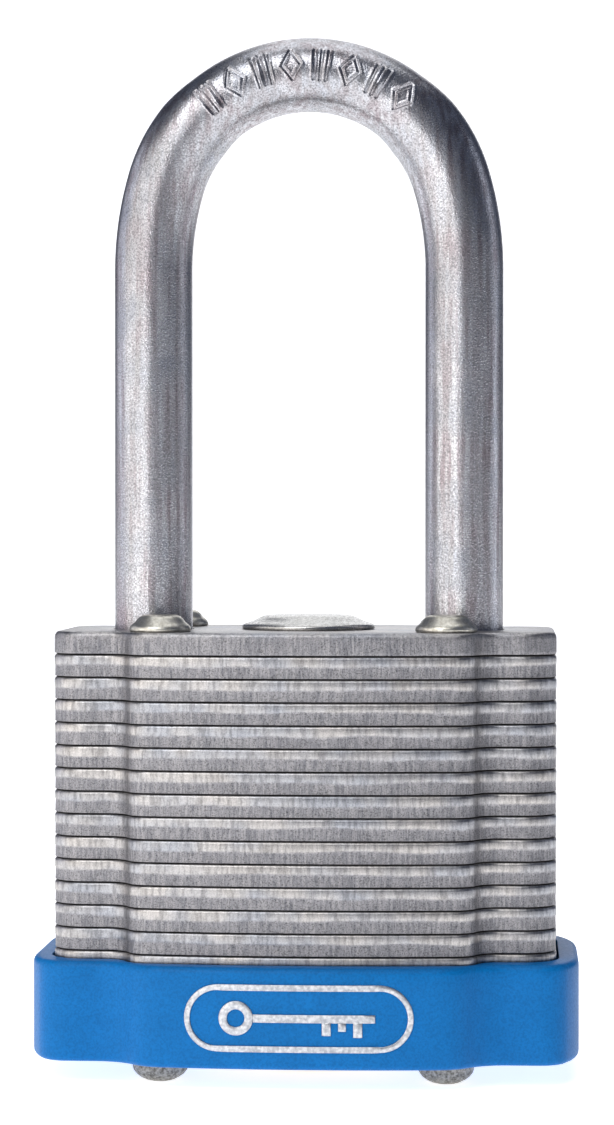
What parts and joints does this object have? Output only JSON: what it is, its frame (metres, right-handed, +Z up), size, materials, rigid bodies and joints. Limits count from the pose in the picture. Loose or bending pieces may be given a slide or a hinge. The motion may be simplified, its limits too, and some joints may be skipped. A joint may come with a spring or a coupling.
{
  "type": "laminated padlock",
  "caption": "Laminated steel padlock with a tall round shackle, a riveted plate body, a moulded bumper round its base and a pin cylinder opening downward.",
  "frame": {"origin": "under the centre of the body, on the plane of the four lower rivet heads that it stands on", "axes": "+Z up along the shackle's legs, X along the width with the long leg at -X, -Y towards the front"},
  "size_m": [0.0484, 0.0284, 0.0927],
  "materials": {
    "plate_steel": "zinc plated, sheared edges",
    "shackle_steel": "bright plated, satin",
    "rivet_steel": "zinc plated",
    "bumper_plastic": "satin, fine grain",
    "badge_foil": "hot foil, satin",
    "spring_steel": "drawn wire",
    "bolt_steel": "sintered, oiled",
    "cylinder_brass": "machined",
    "plug_brass": "machined",
    "driver_steel": "turned"
  },
  "bodies": {
    "case": {"plate_01": "plate_steel", "plate_02": "plate_steel", "plate_03": "plate_steel", "plate_04": "plate_steel", "plate_05": "plate_steel", "plate_06": "plate_steel", "plate_07": "plate_steel", "plate_08": "plate_steel", "plate_09": "plate_steel", "plate_10": "plate_steel", "plate_11": "plate_steel", "plate_12": "plate_steel", "plate_13": "plate_steel", "plate_14": "plate_steel", "plate_15": "plate_steel", "plate_16": "plate_steel", "plate_17": "plate_steel", "plate_18": "plate_steel", "bumper": "bumper_plastic", "badge_frame": "badge_foil", "rivets": "rivet_steel", "top_cap": "rivet_steel", "shackle_spring": "spring_steel", "heel_bolt_spring": "spring_steel", "toe_bolt_spring": "spring_steel", "cylinder_shell": "cylinder_brass", "tower_cover": "cylinder_brass", "driver_pin_1": "driver_steel", "driver_pin_2": "driver_steel", "driver_pin_3": "driver_steel", "driver_pin_4": "driver_steel", "driver_pin_5": "driver_steel", "pin_spring_1": "spring_steel", "pin_spring_2": "spring_steel", "pin_spring_3": "spring_steel", "pin_spring_4": "spring_steel", "pin_spring_5": "spring_steel"},
    "shackle": {"shackle": "shackle_steel", "heel_ring": "spring_steel"},
    "plug": {"plug": "plug_brass", "plug_clip": "spring_steel", "cam": "bolt_steel", "key_pin_1": "plug_brass", "key_pin_2": "plug_brass", "key_pin_3": "plug_brass", "key_pin_4": "plug_brass", "key_pin_5": "plug_brass"},
    "heel_bolt": {"heel_bolt": "bolt_steel"},
    "toe_bolt": {"toe_bolt": "bolt_steel"}
  },
  "joints": [
    {"name": "shackle_lift", "type": "slide", "parent": "case", "child": "shackle", "axis": [0, 0, 1], "range_m": [0, 0.013], "deforming": ["shackle_spring"]},
    {"name": "plug_turn", "type": "hinge", "parent": "case", "child": "plug", "pos_m": [0, 0, 0.0034], "axis": [0, 0, -1], "range_deg": [0, 90]},
    {"name": "heel_bolt_slide", "type": "slide", "parent": "case", "child": "heel_bolt", "axis": [-1, 0, 0], "range_m": [0, 0.0021], "deforming": ["heel_bolt_spring"]},
    {"name": "toe_bolt_slide", "type": "slide", "parent": "case", "child": "toe_bolt", "axis": [1, 0, 0], "range_m": [0, 0.0021], "deforming": ["toe_bolt_spring"]}
  ],
  "couplings": [
    {"joint": "heel_bolt_slide", "follows": "plug_turn", "m_per_rad": 0.0013369},
    {"joint": "toe_bolt_slide", "follows": "plug_turn", "m_per_rad": 0.0013369}
  ]
}
